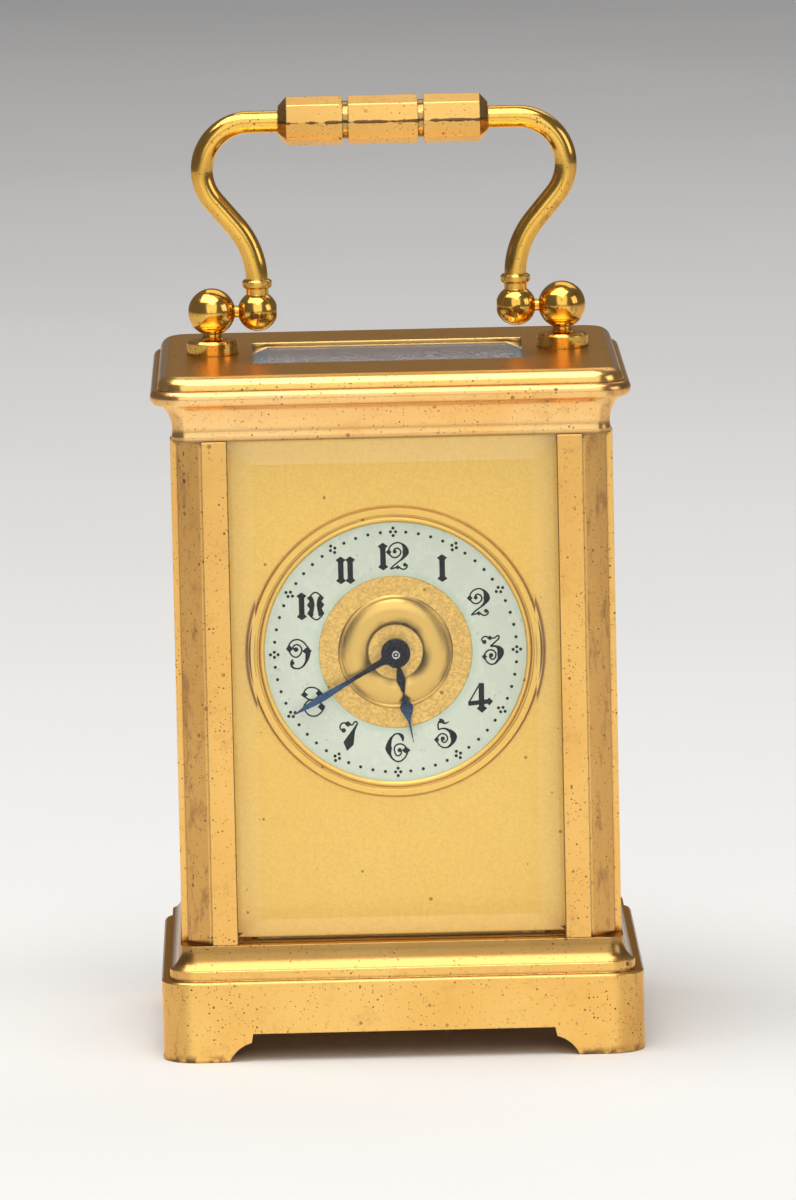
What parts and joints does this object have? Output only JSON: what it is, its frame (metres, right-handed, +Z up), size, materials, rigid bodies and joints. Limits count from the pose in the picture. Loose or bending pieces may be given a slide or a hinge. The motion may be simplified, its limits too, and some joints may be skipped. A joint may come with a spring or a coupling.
{
  "type": "travel clock",
  "caption": "Brass travel clock in a glazed case with a folding handle, arched feet, enamel dial, rear door and a visible platform escapement.",
  "frame": {"origin": "middle of the base, on the surface that the feet stand on", "axes": "+Z up, -Y out of the dial, +X to the right as seen from the front"},
  "size_m": [0.08, 0.07, 0.1569],
  "materials": {
    "case_brass": "polished, tarnished and worn at the edges",
    "handle_brass": "polished, with dark pits",
    "glass": "clear, bevelled, a little dusty",
    "gilt": "matte gilding with bright turned rings",
    "enamel": "glossy fired enamel",
    "blued_steel": "heat blued",
    "movement_brass": "satin",
    "steel": "satin"
  },
  "bodies": {
    "case": {"base_frame": "case_brass", "base_deck": "case_brass", "front_left_pillar": "case_brass", "front_right_pillar": "case_brass", "rear_left_pillar": "case_brass", "rear_right_pillar": "case_brass", "cornice_frame": "case_brass", "top_plate": "case_brass", "left_handle_post": "handle_brass", "right_handle_post": "handle_brass", "handle_post_nuts": "handle_brass", "top_glass": "glass", "front_glass": "glass", "left_glass": "glass", "right_glass": "glass", "dial_mask": "gilt", "dial_bezel": "gilt", "dial_center": "gilt", "chapter_ring": "enamel", "front_movement_plate": "movement_brass", "back_movement_plate": "movement_brass", "movement_pillars": "movement_brass", "platform_plate": "movement_brass", "escapement_bridge": "movement_brass", "balance_cock": "movement_brass", "pillar_screws": "steel", "base_screws": "steel", "top_glass_clips": "steel", "pillar_nuts": "steel", "click_spring": "steel", "hairspring": "steel", "regulator_index": "steel", "platform_screws": "steel"},
    "handle": {"handle_grip": "handle_brass", "left_handle_arm": "handle_brass", "right_handle_arm": "handle_brass"},
    "door": {"rear_door_frame": "case_brass", "rear_door_glass": "glass", "door_knob": "case_brass"},
    "hands": {"center_arbor": "steel", "cannon_pinion": "steel", "minute_hand": "blued_steel", "hand_nut": "blued_steel"},
    "minute_work": {"minute_wheel": "movement_brass"},
    "hour_work": {"hour_wheel": "movement_brass", "hour_hand": "blued_steel"},
    "contrate": {"contrate_wheel": "movement_brass"},
    "third": {"third_wheel": "movement_brass"},
    "center": {"center_wheel": "movement_brass"},
    "barrel": {"mainspring_barrel": "movement_brass", "barrel_cap": "movement_brass", "mainspring": "steel"},
    "escape": {"escape_wheel": "steel"},
    "winding": {"barrel_arbor": "steel", "ratchet_wheel": "steel"},
    "click": {"click": "steel"},
    "pallets": {"pallet_lever": "steel"},
    "balance": {"balance_wheel": "movement_brass"}
  },
  "joints": [
    {"name": "handle_fold", "type": "hinge", "parent": "case", "child": "handle", "pos_m": [0, 0, 0.1211], "axis": [1, 0, 0], "range_deg": [-90, 90]},
    {"name": "door_swing", "type": "hinge", "parent": "case", "child": "door", "pos_m": [0.0256, 0.0304, 0.061], "axis": [0, 0, -1], "range_deg": [0, 100]},
    {"name": "hands_turn", "type": "hinge", "parent": "case", "child": "hands", "pos_m": [0, 0, 0.0664], "axis": [0, 1, 0], "continuous": true},
    {"name": "minute_work_turn", "type": "hinge", "parent": "case", "child": "minute_work", "pos_m": [0.00424, 0, 0.06216], "axis": [0, 1, 0], "continuous": true},
    {"name": "hour_work_turn", "type": "hinge", "parent": "case", "child": "hour_work", "pos_m": [0, 0, 0.0664], "axis": [0, 1, 0], "continuous": true},
    {"name": "contrate_turn", "type": "hinge", "parent": "case", "child": "contrate", "pos_m": [0.00297, 0, 0.08076], "axis": [0, 1, 0], "continuous": true},
    {"name": "third_turn", "type": "hinge", "parent": "case", "child": "third", "pos_m": [0.01247, 0, 0.0736], "axis": [0, 1, 0], "continuous": true},
    {"name": "center_turn", "type": "hinge", "parent": "case", "child": "center", "pos_m": [0, 0, 0.0664], "axis": [0, 1, 0], "continuous": true},
    {"name": "barrel_turn", "type": "hinge", "parent": "case", "child": "barrel", "pos_m": [0, 0, 0.04615], "axis": [0, 1, 0], "continuous": true},
    {"name": "escape_turn", "type": "hinge", "parent": "case", "child": "escape", "pos_m": [0.00297, 0.00979, 0.0912], "axis": [0, 0, 1], "continuous": true},
    {"name": "winding_turn", "type": "hinge", "parent": "case", "child": "winding", "pos_m": [0, 0, 0.04615], "axis": [0, 1, 0], "continuous": true},
    {"name": "click_lift", "type": "hinge", "parent": "case", "child": "click", "pos_m": [0.0104, 0.0185, 0.0507], "axis": [0, -1, 0], "range_deg": [0, 12], "stiffness_Nm_per_rad": 0.002, "springref_deg": -5.73},
    {"name": "pallets_rock", "type": "hinge", "parent": "case", "child": "pallets", "pos_m": [0.00297, 0.00419, 0.0912], "axis": [0, 0, 1], "range_deg": [-5, 5]},
    {"name": "balance_swing", "type": "hinge", "parent": "case", "child": "balance", "pos_m": [0.00297, -0.00261, 0.0912], "axis": [0, 0, 1], "range_deg": [-220, 220]}
  ],
  "couplings": [
    {"joint": "minute_work_turn", "follows": "hands_turn", "ratio": -0.33333},
    {"joint": "hour_work_turn", "follows": "hands_turn", "ratio": 0.083333},
    {"joint": "third_turn", "follows": "contrate_turn", "ratio": -0.13333},
    {"joint": "center_turn", "follows": "contrate_turn", "ratio": 0.016667},
    {"joint": "barrel_turn", "follows": "contrate_turn", "ratio": -0.0020833},
    {"joint": "escape_turn", "follows": "contrate_turn", "ratio": 8}
  ]
}
